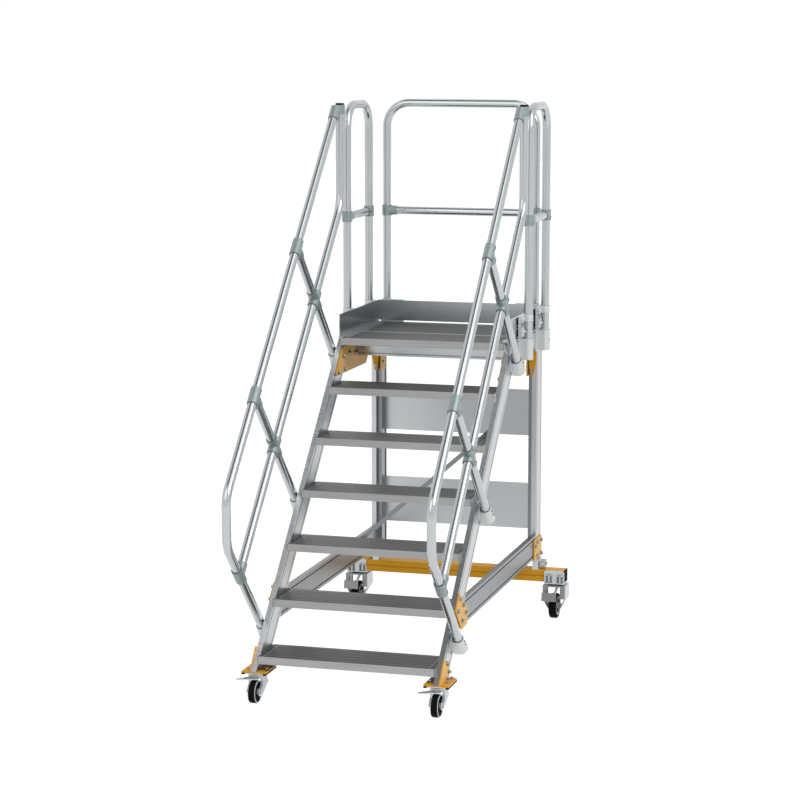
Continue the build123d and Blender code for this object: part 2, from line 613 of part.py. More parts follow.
# Cups on the stringers' outer sides: a disc and a flared socket for the foot of a handrail or post
with BuildPart() as cups:
    for _, side in SIDES:
        x = side * RAIL_X
        for along in (LOW_POST, MIDDLE_POST, UPPER_POST):
            disc = beside(side * OUTER, along, CUP_ABOVE), beside(side * (OUTER + CUP_PLATE), along, CUP_ABOVE)
            add_bar(*disc, CUP_R)
            add_taper(beside(x, along, CUP_MOUTH), beside(x, along, CUP_LOW), FITTING_R, CUP_LOW_R)
            outline = [on_stair(along + across, above) for across, above in (
                (-FITTING_R, CUP_MOUTH), (FITTING_R, CUP_MOUTH), (CUP_LOW_R, CUP_LOW), (-CUP_LOW_R, CUP_LOW))]
            add_plate(Plane.YZ.offset(side * OUTER), outline, side * RAIL_STANDOFF)
    add_box((-OUTER, -SKY, -SKY), (OUTER, SKY, SKY), Mode.SUBTRACT)
    for _, side in SIDES:
        x = side * RAIL_X
        for along in (LOW_POST, MIDDLE_POST, UPPER_POST):
            add_bar(beside(x, along, POST_FOOT), beside(x, along, HAND_ABOVE), SOCKET_R, Mode.SUBTRACT)
keep(cups, "post_cups")

# Hoops round the platform, their mid rails, connectors and holders
HOLDER_LOW = DECK_TOP - HOLDER_BELOW
HOOP_FOOT = HOLDER_LOW + HOLDER_FLOOR
HOOP_Z = DECK_TOP + HOOP_TOP
MID_Z = DECK_TOP + MID_RAIL
BACK_HOLDER_LOW = FRAME_LOW + COLUMN_OVERHANG
HOOPS = (
    # name, first post, second post, foot
    ("side_hoop_left", (-HOOP_X, HOOP_Y), (-HOOP_X, HOOP_REAR_Y), HOOP_FOOT),
    ("side_hoop_right", (HOOP_X, HOOP_Y), (HOOP_X, HOOP_REAR_Y), HOOP_FOOT),
    ("back_hoop", (-BACK_HOOP_X, BACK_HOOP_Y), (BACK_HOOP_X, BACK_HOOP_Y), BACK_HOLDER_LOW + HOLDER_FLOOR),
)
for name, first, second, foot in HOOPS:
    with BuildPart() as hoop:
        add_tube([(*first, foot), (*first, HOOP_Z), (*second, HOOP_Z), (*second, foot)], HOOP_BEND)
    keep(hoop, name)

with BuildPart() as mid_rails:
    for _, first, second, _ in HOOPS:
        first, second = Vector(*first, MID_Z), Vector(*second, MID_Z)
        inward = (second - first).normalized() * POST_GAP
        add_tube([first + inward, second - inward])
keep(mid_rails, "mid_rails")

with BuildPart() as connectors:
    for _, first, second, _ in HOOPS:
        first, second = Vector(*first, MID_Z), Vector(*second, MID_Z)
        inward = (second - first).normalized()
        rise = Vector(0, 0, HOOP_SLEEVE / 2)
        for post, way in ((first, inward), (second, -inward)):
            add_bar(post - rise, post + rise, FITTING_R)
            add_taper(post, post + way * HOOP_STUB, FITTING_R, HOOP_MOUTH_R)
            add_bar(post - rise, post + rise, SOCKET_R, Mode.SUBTRACT)
            add_bar(post + way * POST_GAP, post + way * HOOP_STUB, SOCKET_R, Mode.SUBTRACT)
keep(connectors, "hoop_connectors")


def add_holder(post, outward, clamp_way, low_z):
    """A socket and a ring for one hoop post on the platform's wall, with two clamps beside the post."""
    post, outward, clamp_way = Vector(*post, 0), Vector(*outward, 0), Vector(*clamp_way, 0)
    wall = Plane(origin=post - outward * HOOP_STANDOFF, x_dir=outward, z_dir=(0, 0, 1))
    flip = 1 if wall.y_dir.dot(clamp_way) > 0 else -1
    ring_above, ring_height = CLAMP_ROWS[-1]
    for radius, low, height in (
            (HOLDER_R, low_z, HOLDER_LOW + HOLDER_HEIGHT - low_z),
            (HOLDER_RING_R, DECK_TOP + ring_above, ring_height)):
        with BuildSketch(wall.offset(low)) as sleeve:
            with Locations((HOOP_STANDOFF, 0)):
                Circle(radius)
            with Locations((HOOP_STANDOFF / 2, 0)):
                Rectangle(HOOP_STANDOFF, 2 * radius)
        extrude(sleeve.sketch, amount=height)
    clamp_y = TUBE_R + CLAMP_START + CLAMP_LENGTH / 2
    with BuildSketch(wall.offset(low_z)) as back:
        clamp_end = clamp_y + CLAMP_LENGTH / 2
        with Locations((HOLDER_PLATE / 2, flip * (clamp_end - HOLDER_R) / 2)):
            Rectangle(HOLDER_PLATE, clamp_end + HOLDER_R)
    extrude(back.sketch, amount=DECK_TOP + ring_above + ring_height - low_z)
    for above, height in CLAMP_ROWS:
        with BuildSketch(wall.offset(DECK_TOP + above)) as clamp:
            with Locations((CLAMP_THICK / 2, flip * clamp_y)):
                Rectangle(CLAMP_THICK, CLAMP_LENGTH)
        extrude(clamp.sketch, amount=height)
    foot = post + Vector(0, 0, low_z + HOLDER_FLOOR)
    add_bar(foot, foot + Vector(0, 0, MID_RAIL), SOCKET_R, Mode.SUBTRACT)


with BuildPart() as holders:
    for _, side in SIDES:
        for y in (HOOP_Y, HOOP_REAR_Y):
            add_holder((side * HOOP_X, y), (side, 0), (0, -1), HOLDER_LOW)
        add_holder((side * BACK_HOOP_X, BACK_HOOP_Y), (0, 1), (-side, 0), BACK_HOLDER_LOW)
keep(holders, "post_holders")

# Yellow plates over the front castors, with an upright against each stringer, and rubber strips below
FRONT_UPRIGHT = (
    # y from the first nose, height above the plate
    (-22.0, -1.0), (55.0, 96.0), (89.0, 83.0), (131.0, 41.0), (138.0, -1.0),
)
FRONT_PLATE_X = FRONT_CASTOR["x"]
PLATE_LOW = FRONT_PLATE_TOP - PLATE
PLATE_FRONT_Y, PLATE_REAR_Y = NOSE_Y + FRONT_PLATE_FRONT, NOSE_Y + FRONT_PLATE_REAR
PLATE_EDGES = FRONT_PLATE_X - FRONT_PLATE_WIDTH / 2, FRONT_PLATE_X + FRONT_PLATE_WIDTH / 2
with BuildPart() as front_plates:
    outline = [(NOSE_Y + y, FRONT_PLATE_TOP + z) for y, z in FRONT_UPRIGHT]
    for _, side in SIDES:
        add_side_box(side, *PLATE_EDGES, (PLATE_FRONT_Y, PLATE_LOW), (PLATE_REAR_Y, FRONT_PLATE_TOP))
        add_plate(Plane.YZ.offset(side * OUTER), outline, side * PLATE)
keep(front_plates, "front_plates")

with BuildPart() as strips:
    for _, side in SIDES:
        for edge in (PLATE_EDGES[0], PLATE_EDGES[1] - STRIP_WIDTH):
            add_side_box(
                side, edge, edge + STRIP_WIDTH, (PLATE_FRONT_Y, PLATE_LOW - STRIP_HEIGHT), (PLATE_REAR_Y, PLATE_LOW))
keep(strips, "rubber_strips")


def add_top_plate(spec, x):
    """A castor's top plate with its race and the kingpin that its fork turns on."""
    y = NOSE_Y + spec["swivel_y"]
    low = spec["top"] - spec["plate"]
    add_box(
        (x - spec["plate_x"] / 2, y - spec["plate_y"] / 2, low),
        (x + spec["plate_x"] / 2, y + spec["plate_y"] / 2, spec["top"]))
    add_bar((x, y, low), (x, y, low - RACE_HEIGHT), spec["crown_r"] * RACE_SHARE)
    crown_low = low - RACE_HEIGHT - SWIVEL_GAP - spec["crown"]
    add_bar((x, y, low), (x, y, crown_low), spec["pin_r"])


def add_fork(spec, x):
    """A pressed fork: two flanged legs from a crown down to the axle, which is part of it."""
    swivel_y = NOSE_Y + spec["swivel_y"]
    axle_y = swivel_y - spec["trail"]
    axle_z = spec["wheel_r"]
    foot = spec["axle_foot"]
    waist = spec["waist"]
    front_y, rear_y = swivel_y - spec["reach"], swivel_y + spec["reach"]
    crown_top = spec["top"] - spec["plate"] - RACE_HEIGHT - SWIVEL_GAP
    crown_low = crown_top - spec["crown"]
    inner = spec["width"] / 2 + WHEEL_GAP
    outer = inner + spec["leg"]
    face = outer + spec["flare"]

    # Both legs seen from the front, cut to their outline seen from the side
    for way in (-1, 1):
        front = [(x + way * a, z) for a, z in (
            (inner, axle_z - foot), (face - spec["leg"], waist), (face - spec["leg"], crown_top),
            (face, crown_top), (face, waist), (outer, axle_z - foot))]
        add_plate(Plane.XZ.offset(-rear_y - spec["trail"]), front, rear_y - axle_y + foot + 2 * spec["trail"])
    with BuildSketch(Plane.YZ.offset(x - face)) as flank:
        with BuildLine():
            heel = [(axle_y + a, axle_z + b) for a, b in spec["heel"]]
            front = (axle_y - foot, axle_z), (front_y, waist), (front_y, crown_top)
            Polyline(*front, (rear_y, crown_top), *heel, close=True)
        make_face()
        with Locations((axle_y, axle_z)):
            Circle(foot)
    extrude(flank.sketch, amount=2 * face, mode=Mode.INTERSECT)

    # Flanges along the legs' edges
    for way in (-1, 1):
        near, far = sorted((x + way * (face - spec["flange_in"]), x + way * (face + spec["flange_out"])))
        add_box((near, front_y, waist), (far, front_y + spec["leg"], crown_top))
        if spec["flange_out"]:
            slant = [(front_y, waist), (axle_y - foot, axle_z), (axle_y - foot + spec["leg"], axle_z),
                     (front_y + spec["leg"], waist)]
            add_plate(Plane.YZ.offset(near), slant, far - near)
        if spec["heel_flange"]:
            near, far = sorted((x + way * (face - spec["heel_flange"]), x + way * face))
            add_box((near, rear_y - spec["leg"], waist), (far, rear_y, crown_top))

    # Crown, axle with its nuts, and the bore for the kingpin
    add_bar((x, swivel_y, crown_low), (x, swivel_y, crown_top), spec["crown_r"])
    if spec["flare"]:
        add_box((x - face, front_y, crown_low), (x + face, rear_y, crown_top))
    add_bar((x - outer, axle_y, axle_z), (x + outer, axle_y, axle_z), spec["axle_r"])
    for way in (-1, 1):
        nut = Plane(origin=(x + way * inner, axle_y, axle_z), z_dir=(way, 0, 0))
        with BuildSketch(nut) as hexagon:
            RegularPolygon(2 * spec["axle_r"], 6)
        extrude(hexagon.sketch, amount=spec["leg"] + AXLE_NUT)
    bore = spec["pin_r"] + AXLE_FIT
    add_bar((x, swivel_y, crown_low), (x, swivel_y, crown_top), bore, Mode.SUBTRACT)


PEDAL_THICK = 4.0
FRONT_PEDAL = (
    # x and y from the wheel's centre
    (-74.0, -36.0), (-66.0, -50.0), (-20.0, -34.0), (20.0, -22.0), (20.0, 12.0), (-20.0, 12.0),
)
REAR_PEDAL = (
    # y and z from the axle
    (-66.0, 34.0), (-60.0, 73.0), (-10.0, 98.0), (-10.0, 103.0), (-62.0, 76.0), (-70.0, 34.0),
)
REAR_PEDAL_X = (-53.0, 21.0)
PEDAL_ARM = 12.0
for side_name, side in SIDES:
    x = side * FRONT_CASTOR["x"]
    with BuildPart() as fork:
        add_fork(FRONT_CASTOR, x)
        axle_y = NOSE_Y + FRONT_CASTOR["swivel_y"] - FRONT_CASTOR["trail"]
        pedal_z = FRONT_CASTOR["top"] - FRONT_CASTOR["plate"] - RACE_HEIGHT - FRONT_CASTOR["crown"] + PEDAL_THICK / 2
        add_plate(Plane.XY.offset(pedal_z), [(x + a, axle_y + b) for a, b in FRONT_PEDAL], PEDAL_THICK)
    keep(fork, f"fork_front_{side_name}")

for side_name, side in SIDES:
    x = side * REAR_CASTOR["x"]
    with BuildPart() as fork:
        add_fork(REAR_CASTOR, x)
        axle_y = NOSE_Y + REAR_CASTOR["swivel_y"] - REAR_CASTOR["trail"]
        outline = [(axle_y + a, REAR_CASTOR["wheel_r"] + b) for a, b in REAR_PEDAL]
        low, high = REAR_PEDAL_X
        blade = [outline[0], outline[1], outline[4], outline[5]]
        add_plate(Plane.YZ.offset(x + low), blade, high - low)
        add_plate(Plane.YZ.offset(x + high - PEDAL_ARM), outline, PEDAL_ARM)
    keep(fork, f"fork_rear_{side_name}")


def wheel_plane(spec, x):
    """The plane through the axle, with its first axis along the axle and its second one upwards."""
    return Plane(
        origin=(x, NOSE_Y + spec["swivel_y"] - spec["trail"], spec["wheel_r"]), x_dir=(1, 0, 0), z_dir=(0, -1, 0))


def add_ring(centre, width, low_r, high_r):
    """One band of a wheel's section, between two radii."""
    with Locations((centre, (low_r + high_r) / 2)):
        Rectangle(width, high_r - low_r)


RIM_WALL = 6.0
HUB_OVER = 2.0
WEB_SHARE = 0.25
for end_name, spec in (("front", FRONT_CASTOR), ("rear", REAR_CASTOR)):
    for side_name, side in SIDES:
        plane = wheel_plane(spec, side * spec["x"])
        turn = Axis(plane.origin, plane.x_dir)
        with BuildPart() as rim:
            with BuildSketch(plane):
                add_ring(0, spec["width"] + 2 * HUB_OVER, spec["axle_r"] + AXLE_FIT, spec["hub_r"])
                add_ring(0, spec["width"] * WEB_SHARE, spec["hub_r"], spec["rim_r"])
                add_ring(0, spec["width"] - 2 * spec["disc"], spec["rim_r"] - RIM_WALL, spec["rim_r"])
                side_x = (spec["width"] - spec["disc"]) / 2
                for centre in (-side_x, side_x):
                    add_ring(centre, spec["disc"], spec["disc_low"], spec["disc_high"])
            revolve(axis=turn)
        keep(rim, f"rim_{end_name}_{side_name}")
        with BuildPart() as tyre:
            with BuildSketch(plane):
                add_ring(0, spec["tyre"], spec["rim_r"] + TYRE_FIT, spec["wheel_r"])
                fillet(vertices().sort_by(Axis.Y)[-2:], spec["tyre_round"])
            revolve(axis=turn)
        keep(tyre, f"tyre_{end_name}_{side_name}")

with BuildPart() as front_castor_plates:
    for _, side in SIDES:
        add_top_plate(FRONT_CASTOR, side * FRONT_CASTOR["x"])
keep(front_castor_plates, "front_castor_plates")

with BuildPart() as rear_castor_brackets:
    for _, side in SIDES:
        add_top_plate(REAR_CASTOR, side * REAR_CASTOR["x"])
        low_z = REAR_BEAM_LOW - REAR_CASTOR["plate"]
        with BuildSketch(Plane.XZ.offset(-BEAM_FRONT)) as upright:
            with Locations((side * REAR_CASTOR["x"], (low_z + BEAM_TOP) / 2)):
                Rectangle(REAR_PLATE_X, BEAM_TOP - low_z)
            fillet(vertices().sort_by(Axis.Y)[-2:], BRACKET_ROUND)
        extrude(upright.sketch, amount=REAR_CASTOR["plate"])
keep(rear_castor_brackets, "rear_castor_brackets")
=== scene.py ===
import json
from math import cos, pi, radians, sin

import bmesh
import bpy
from mathutils import Matrix, Vector


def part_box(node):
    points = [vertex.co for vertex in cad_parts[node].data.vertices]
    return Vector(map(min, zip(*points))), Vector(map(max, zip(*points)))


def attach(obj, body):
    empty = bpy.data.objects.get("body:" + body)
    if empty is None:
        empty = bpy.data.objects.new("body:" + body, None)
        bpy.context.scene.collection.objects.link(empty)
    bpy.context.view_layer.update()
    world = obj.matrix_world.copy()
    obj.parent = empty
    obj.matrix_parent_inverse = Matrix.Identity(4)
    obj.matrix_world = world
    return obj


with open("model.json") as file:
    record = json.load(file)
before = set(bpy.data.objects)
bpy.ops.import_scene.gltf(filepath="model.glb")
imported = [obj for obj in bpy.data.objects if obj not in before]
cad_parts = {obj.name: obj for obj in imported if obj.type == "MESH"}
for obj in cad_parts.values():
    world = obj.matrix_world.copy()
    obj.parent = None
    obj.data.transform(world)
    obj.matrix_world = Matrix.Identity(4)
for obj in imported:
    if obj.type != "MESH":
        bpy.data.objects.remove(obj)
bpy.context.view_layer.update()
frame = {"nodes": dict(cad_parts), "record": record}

# Camera, as solved from the photograph; lengths in metres
IMAGE_SIZE = 800
FOCAL_PIXELS = 2471.89
SENSOR = 36.0
AZIMUTH = radians(15.9)
ELEVATION = radians(8.73)
DISTANCE = 10.43719
TARGET_FROM_NOSE = Vector((0.24704, 0.0, 1.15916))
CLIP_END = 100

# Sizes of the part in millimetres: x from the middle, y from the first tread's nose, z from the floor
SIDES = (-1, 1)
TREADS = 6
STEP = 208.0
TREAD_HEIGHT = 34.0
DECK_FRONT = 1238.0
DECK_TOP = 1456.0
DECK_THICK = 33.0
RAIL_X = 450.5
LOW_POST, MIDDLE_POST, UPPER_POST = 207.0, 889.5, 1732.5
HAND, KNEE = 700.5, 330.0
HAND_TOP_Y = 1400.75
HOOP_X = 451.4
HOOP_POSTS = (1519.0, 1886.0)
BACK_HOOP_X, BACK_HOOP_Y = 380.6, 1969.4
MID_RAIL = 2013.0
REAR_CASTOR_X = 513.5

# Where the first tread's nose lies, in metres, and directions along the stair rails and their posts
NOSE_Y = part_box("tread_1")[0].y
ALONG_RAIL = (0, cos(pi / 4), sin(pi / 4))
ALONG_POST = (0, -sin(pi / 4), cos(pi / 4))
UP = (0, 0, 1)


def at(x, y, z):
    """A point in metres from millimetres: y from the first tread's nose, z from the floor."""
    return Vector((x / 1000, NOSE_Y + y / 1000, z / 1000))


def on_side(side, place):
    """A point given for the right side, or its mirror image on the left."""
    x, y, z = place
    return at(side * x, y, z)


def on_stair(x, along, above):
    """A point given along the line of the tread noses and square above it, in millimetres."""
    half = 0.5 ** 0.5
    return at(x, (along - above) * half, STEP + (along + above) * half)


def add_camera():
    """Looks at a point beside the stairs' middle, given from the first tread's front top edge."""
    nose = Vector((0, NOSE_Y, STEP / 1000))
    back = Vector((sin(AZIMUTH) * cos(ELEVATION), -cos(AZIMUTH) * cos(ELEVATION), sin(ELEVATION)))
    data = bpy.data.cameras.new("camera")
    data.sensor_fit = "HORIZONTAL"
    data.sensor_width = SENSOR
    data.lens = SENSOR * FOCAL_PIXELS / IMAGE_SIZE
    data.clip_end = CLIP_END
    camera = bpy.data.objects.new("camera", data)
    camera.location = nose + TARGET_FROM_NOSE + back * DISTANCE
    camera.rotation_euler = back.to_track_quat("Z", "Y").to_euler()
    bpy.context.scene.collection.objects.link(camera)
    bpy.context.scene.camera = camera


# Shader helpers
def new_material(name):
    """An empty node material with its Principled shader."""
    material = bpy.data.materials.new(name)
    material.use_nodes = True
    return material, material.node_tree, material.node_tree.nodes["Principled BSDF"]


def add_node(tree, kind, **values):
    """A shader node whose listed sockets are set; underscores stand for spaces in socket names."""
    node = tree.nodes.new(kind)
    for key, value in values.items():
        socket = node.inputs.get(key.replace("_", " "))
        if socket is not None:
            socket.default_value = value
        else:
            setattr(node, key, value)
    return node


def coordinates(tree, output="Object"):
    """Object position in metres, or another output of the coordinates, such as the normal."""
    return tree.nodes.new("ShaderNodeTexCoord").outputs[output]


def noise(tree, scale, detail=3.0):
    """A noise value between 0 and 1 over the object position, stretched by the scale."""
    mapping = add_node(tree, "ShaderNodeMapping", Scale=scale)
    tree.links.new(coordinates(tree), mapping.inputs["Vector"])
    node = add_node(tree, "ShaderNodeTexNoise", Scale=1.0, Detail=detail)
    tree.links.new(mapping.outputs["Vector"], node.inputs["Vector"])
    return node.outputs["Fac"]


def spread(tree, value, from_low, from_high, to_low=0.0, to_high=1.0):
    """A value clamped to one range and spread over another."""
    node = tree.nodes.new("ShaderNodeMapRange")
    for name, number in (("From Min", from_low), ("From Max", from_high), ("To Min", to_low), ("To Max", to_high)):
        node.inputs[name].default_value = number
    tree.links.new(value, node.inputs["Value"])
    return node.outputs["Result"]


def calculate(tree, operation, *values):
    """One step of arithmetic on sockets and numbers."""
    node = add_node(tree, "ShaderNodeMath", operation=operation)
    for socket, value in zip(node.inputs, values):
        if isinstance(value, (int, float)):
            socket.default_value = value
        else:
            tree.links.new(value, socket)
    return node.outputs[0]


def blend(tree, factor, first, second):
    """Blends two colours, each a socket or a tuple."""
    node = add_node(tree, "ShaderNodeMix", data_type="RGBA")
    tree.links.new(factor, node.inputs["Factor"])
    for socket, colour in ((node.inputs[6], first), (node.inputs[7], second)):
        if isinstance(colour, tuple):
            socket.default_value = (*colour, 1)
        else:
            tree.links.new(colour, socket)
    return node.outputs[2]


def facing(tree, axis, start=0.7, end=0.85):
    """1 where the surface faces along the axis, either way, and 0 where it doesn't."""
    dot = add_node(tree, "ShaderNodeVectorMath", operation="DOT_PRODUCT")
    tree.links.new(coordinates(tree, "Normal"), dot.inputs[0])
    dot.inputs[1].default_value = axis
    return spread(tree, calculate(tree, "ABSOLUTE", dot.outputs["Value"]), start, end)


def component(tree, axis):
    """One coordinate of the object position."""
    split = tree.nodes.new("ShaderNodeSeparateXYZ")
    tree.links.new(coordinates(tree), split.inputs[0])
    return split.outputs[axis]


def from_middle(tree):
    """Distance from the plane in the stairs' middle."""
    return calculate(tree, "ABSOLUTE", component(tree, "X"))


def apart(tree, value, place):
    """Distance between a value and a place."""
    return calculate(tree, "ABSOLUTE", calculate(tree, "SUBTRACT", value, place))


# Variation of every finish
USUAL_NOISE = (0.3, 0.7)
CLOUD_SCALE = (3.0, 3.0, 3.0)
CLOUD_DETAIL = 2.0
CLOUD_TONES = (0.97, 1.03)
ROUGHNESS_SHARES = (0.88, 1.12)
BUMP_STRENGTH = 0.35


def finish(name, colour, roughness, grain=(60, 60, 60), metallic=1.0, contrast=0.05, relief=0.00002, painted_face_tones=(),
           gloss=0.5, masks=()):
    """A finish with fine variation along its grain; tones are painted light and shade on the faces along an axis, and
    each mask is a function that gives a factor, with the colour that it lays over the rest as painted light or shade."""
    material, tree, shader = new_material(name)
    fine = noise(tree, grain)
    cloud = noise(tree, CLOUD_SCALE, CLOUD_DETAIL)
    base = colour
    for axis, tone in painted_face_tones:
        base = blend(tree, facing(tree, axis), base, tone)
    for mask, tone in masks:
        base = blend(tree, mask(tree), base, tone)
    vary = calculate(
        tree, "ADD", spread(tree, fine, *USUAL_NOISE, -contrast, contrast),
        spread(tree, cloud, *USUAL_NOISE, *CLOUD_TONES))
    shade = add_node(tree, "ShaderNodeVectorMath", operation="SCALE")
    if isinstance(base, tuple):
        shade.inputs[0].default_value = base
    else:
        tree.links.new(base, shade.inputs[0])
    tree.links.new(vary, shade.inputs["Scale"])
    tree.links.new(shade.outputs[0], shader.inputs["Base Color"])
    smooth, rough = (roughness * share for share in ROUGHNESS_SHARES)
    tree.links.new(spread(tree, fine, *USUAL_NOISE, smooth, rough), shader.inputs["Roughness"])
    shader.inputs["Metallic"].default_value = metallic
    shader.inputs["Specular IOR Level"].default_value = gloss
    bump = add_node(tree, "ShaderNodeBump", Distance=relief, Strength=BUMP_STRENGTH)
    tree.links.new(fine, bump.inputs["Height"])
    tree.links.new(bump.outputs["Normal"], shader.inputs["Normal"])
    return material


# Where a piece's painted light and shade changes, in metres: each pair is where the change starts and ends
BEAM_MIDDLE = 0.412
GROOVE_DEPTHS = (0.0100, 0.0115)
SQUARE_ON = (0.9, 0.95)
COLUMN_STEP = (0.3996, 0.3999)
BAND_START, BAND_PITCH = 0.012, 0.0416
BAND_EDGE = (0.30, 0.38)
BAND_ENDS = (0.372, 0.374)
BOARD_SPAN = (-0.40, 0.42)
FORK_SIDES = (0.0490, 0.0500)
LEFT_TO_RIGHT = (-0.05, 0.05)
LIT_HEIGHTS = (0.5, 1.3)


def groove_floor_painted_shade(tree):
    """The floors of the grooves in the beams beside the stairs, painted dark as shade."""
    floor = spread(tree, apart(tree, from_middle(tree), BEAM_MIDDLE), *GROOVE_DEPTHS, 1.0, 0.0)
    return calculate(tree, "MULTIPLY", floor, facing(tree, (1, 0, 0), *SQUARE_ON))


def column_inside_painted_shade(tree):
    """The box on the inner side of a column, painted darker as shade."""
    return spread(tree, from_middle(tree), *COLUMN_STEP, 1.0, 0.0)


def rib_painted_highlights(tree):
    """Painted highlight bands along the ribs, between the end plates of a tread or plank."""
    from_nose = calculate(tree, "SUBTRACT", component(tree, "Y"), NOSE_Y + BAND_START)
    wave = calculate(tree, "PINGPONG", calculate(tree, "DIVIDE", from_nose, BAND_PITCH), 0.5)
    light = spread(tree, wave, *BAND_EDGE)
    inside = spread(tree, from_middle(tree), *BAND_ENDS, 1.0, 0.0)
    return calculate(tree, "MULTIPLY", calculate(tree, "MULTIPLY", light, inside), facing(tree, UP))


def painted_light_to_the_right(tree):
    """Painted light that grows from the left side of the platform to its right."""
    return spread(tree, component(tree, "X"), *BOARD_SPAN)


def painted_light_on_top(tree):
    """Faces that look up or down, painted lighter as light from above."""
    return facing(tree, UP)


def fork_inside_painted_shade(tree):
    """The inner sides of a rear fork's legs, painted darker as shade."""
    near = spread(tree, apart(tree, from_middle(tree), REAR_CASTOR_X / 1000), *FORK_SIDES, 1.0, 0.0)
    return calculate(tree, "MULTIPLY", near, facing(tree, (1, 0, 0)))


def lit_nose_side(tree):
    """The stringers' upper sides where they are lit: all of the left one, the upper half of the right one."""
    left = spread(tree, component(tree, "X"), *LEFT_TO_RIGHT, 1.0, 0.0)
    lit = calculate(tree, "MAXIMUM", left, spread(tree, component(tree, "Z"), *LIT_HEIGHTS))
    return calculate(tree, "MULTIPLY", lit, facing(tree, NOSE_SIDE_PAINTED_SHADE[0]))


# Painted shade laid on the floors of the beams' grooves
GROOVE_PAINTED_SHADE = (0.045, 0.05, 0.055)
# The stringers' sides along the line of the noses are painted darker, as a painted reflection of the dark patch
# overhead
NOSE_SIDE_PAINTED_SHADE = ((0, 0.70711, -0.70711), (0.30, 0.31, 0.31))
MATERIALS = {
    "aluminium_profile": finish(
        "aluminium_profile", (0.52, 0.54, 0.55), 0.34, (8, 160, 160), painted_face_tones=(NOSE_SIDE_PAINTED_SHADE,),
        masks=((groove_floor_painted_shade, GROOVE_PAINTED_SHADE), (lit_nose_side, (0.70, 0.72, 0.73)))),
    # Treads: the tops are painted darker as shade, with painted highlight bands along the ribs
    "tread_aluminium": finish(
        "tread_aluminium", (0.352, 0.354, 0.354), 0.42, (5, 420, 420), contrast=0.12, relief=0.00003,
        painted_face_tones=((UP, (0.118, 0.122, 0.122)),), masks=((rib_painted_highlights, (0.235, 0.24, 0.24)),), metallic=0.85),
    # Sheet: painted light grows to the right, and faces that look up or down are painted lighter
    "sheet_aluminium": finish(
        "sheet_aluminium", (0.34, 0.36, 0.37), 0.24, (4, 4, 1200), contrast=0.006, relief=0.000001,
        masks=((painted_light_to_the_right, (0.50, 0.52, 0.53)), (painted_light_on_top, (0.44, 0.46, 0.47)))),
    "tube_aluminium": finish(
        "tube_aluminium", (0.47, 0.495, 0.505), 0.21, (300, 300, 300), contrast=0.008, relief=0.000001),
    "cast_fitting": finish(
        "cast_fitting", (0.29, 0.35, 0.35), 0.40, (420, 420, 420), metallic=0.5, relief=0.00003),
    "cast_aluminium": finish(
        "cast_aluminium", (0.63, 0.655, 0.655), 0.42, (380, 380, 380), metallic=0.6, relief=0.00004),
    # Yellow steel: faces along x are painted a lighter peach, as painted light from the side
    "yellow_steel": finish(
        "yellow_steel", (0.74, 0.36, 0.018), 0.5, (240, 240, 240), metallic=0.0, contrast=0.03, gloss=0.2,
        relief=0.00003, painted_face_tones=(((1, 0, 0), (0.92, 0.55, 0.18)),)),
    "zinc_steel": finish("zinc_steel", (0.56, 0.58, 0.60), 0.38, (160, 160, 160), contrast=0.03, metallic=0.7),
    "black_plastic": finish("black_plastic", (0.006, 0.006, 0.007), 0.75, (300, 300, 300), metallic=0.0, gloss=0.06),
    "black_rubber": finish("black_rubber", (0.005, 0.005, 0.005), 0.7, (500, 500, 500), metallic=0.0, gloss=0.1),
    "grey_plastic": finish("grey_plastic", (0.66, 0.67, 0.67), 0.38, (260, 260, 260), metallic=0.0),
    "tyre": finish("tyre", (0.005, 0.005, 0.006), 0.7, (30, 500, 500), metallic=0.0, relief=0.00006, gloss=0.06),
}
# Columns: the inner boxes are painted darker as shade
COLUMN = finish(
    "column_aluminium", (0.50, 0.52, 0.535), 0.32, (160, 160, 8),
    masks=((column_inside_painted_shade, (0.22, 0.23, 0.24)), (groove_floor_painted_shade, GROOVE_PAINTED_SHADE)))
PANEL = finish("panel_aluminium", (0.50, 0.52, 0.53), 0.36, (5, 90, 300), contrast=0.03)
BASE = finish("base_aluminium", (0.23, 0.24, 0.25), 0.34, (160, 8, 160), masks=((groove_floor_painted_shade, GROOVE_PAINTED_SHADE),))
# Rear forks: faces along y and the legs' inner sides are painted darker as shade
REAR_FORK = finish(
    "fork_steel", (0.58, 0.60, 0.61), 0.38, (160, 160, 160), contrast=0.03, metallic=0.7,
    painted_face_tones=(((0, 1, 0), (0.27, 0.275, 0.275)),), masks=((fork_inside_painted_shade, (0.17, 0.175, 0.175)),))
BRACE = finish("brace_aluminium", (0.20, 0.21, 0.215), 0.3, (300, 8, 300))
BOLT = finish("bolt_steel", (0.36, 0.335, 0.295), 0.34, (300, 300, 300), contrast=0.04)
RING = finish("ring_grey", (0.17, 0.18, 0.18), 0.45, (300, 300, 300), metallic=0.3, contrast=0.03)
# Light strips on the tread and deck edges, painted as highlights
EDGE_PAINTED_HIGHLIGHT = finish("edge_painted_highlight", (0.60, 0.61, 0.61), 0.35, (8, 300, 300), contrast=0.03)
SHINY = finish("shiny_aluminium", (0.42, 0.435, 0.445), 0.2, (4, 4, 900), contrast=0.02, relief=0.000002)
# Deck: painted highlight bands along the ribs
DECK_LOOK = finish(
    "deck_aluminium", (0.088, 0.092, 0.092), 0.42, (5, 420, 420), contrast=0.12, relief=0.00003, metallic=0.85,
    masks=((rib_painted_highlights, (0.135, 0.14, 0.14)),))
OWN_LOOKS = {
    "column_left": COLUMN, "column_right": COLUMN, "panels": PANEL, "platform_cross_beams": SHINY,
    "brace": BRACE, "deck_front": DECK_LOOK, "deck_rear": DECK_LOOK, "base_rails": BASE,
    "fork_rear_left": REAR_FORK, "fork_rear_right": REAR_FORK,
}


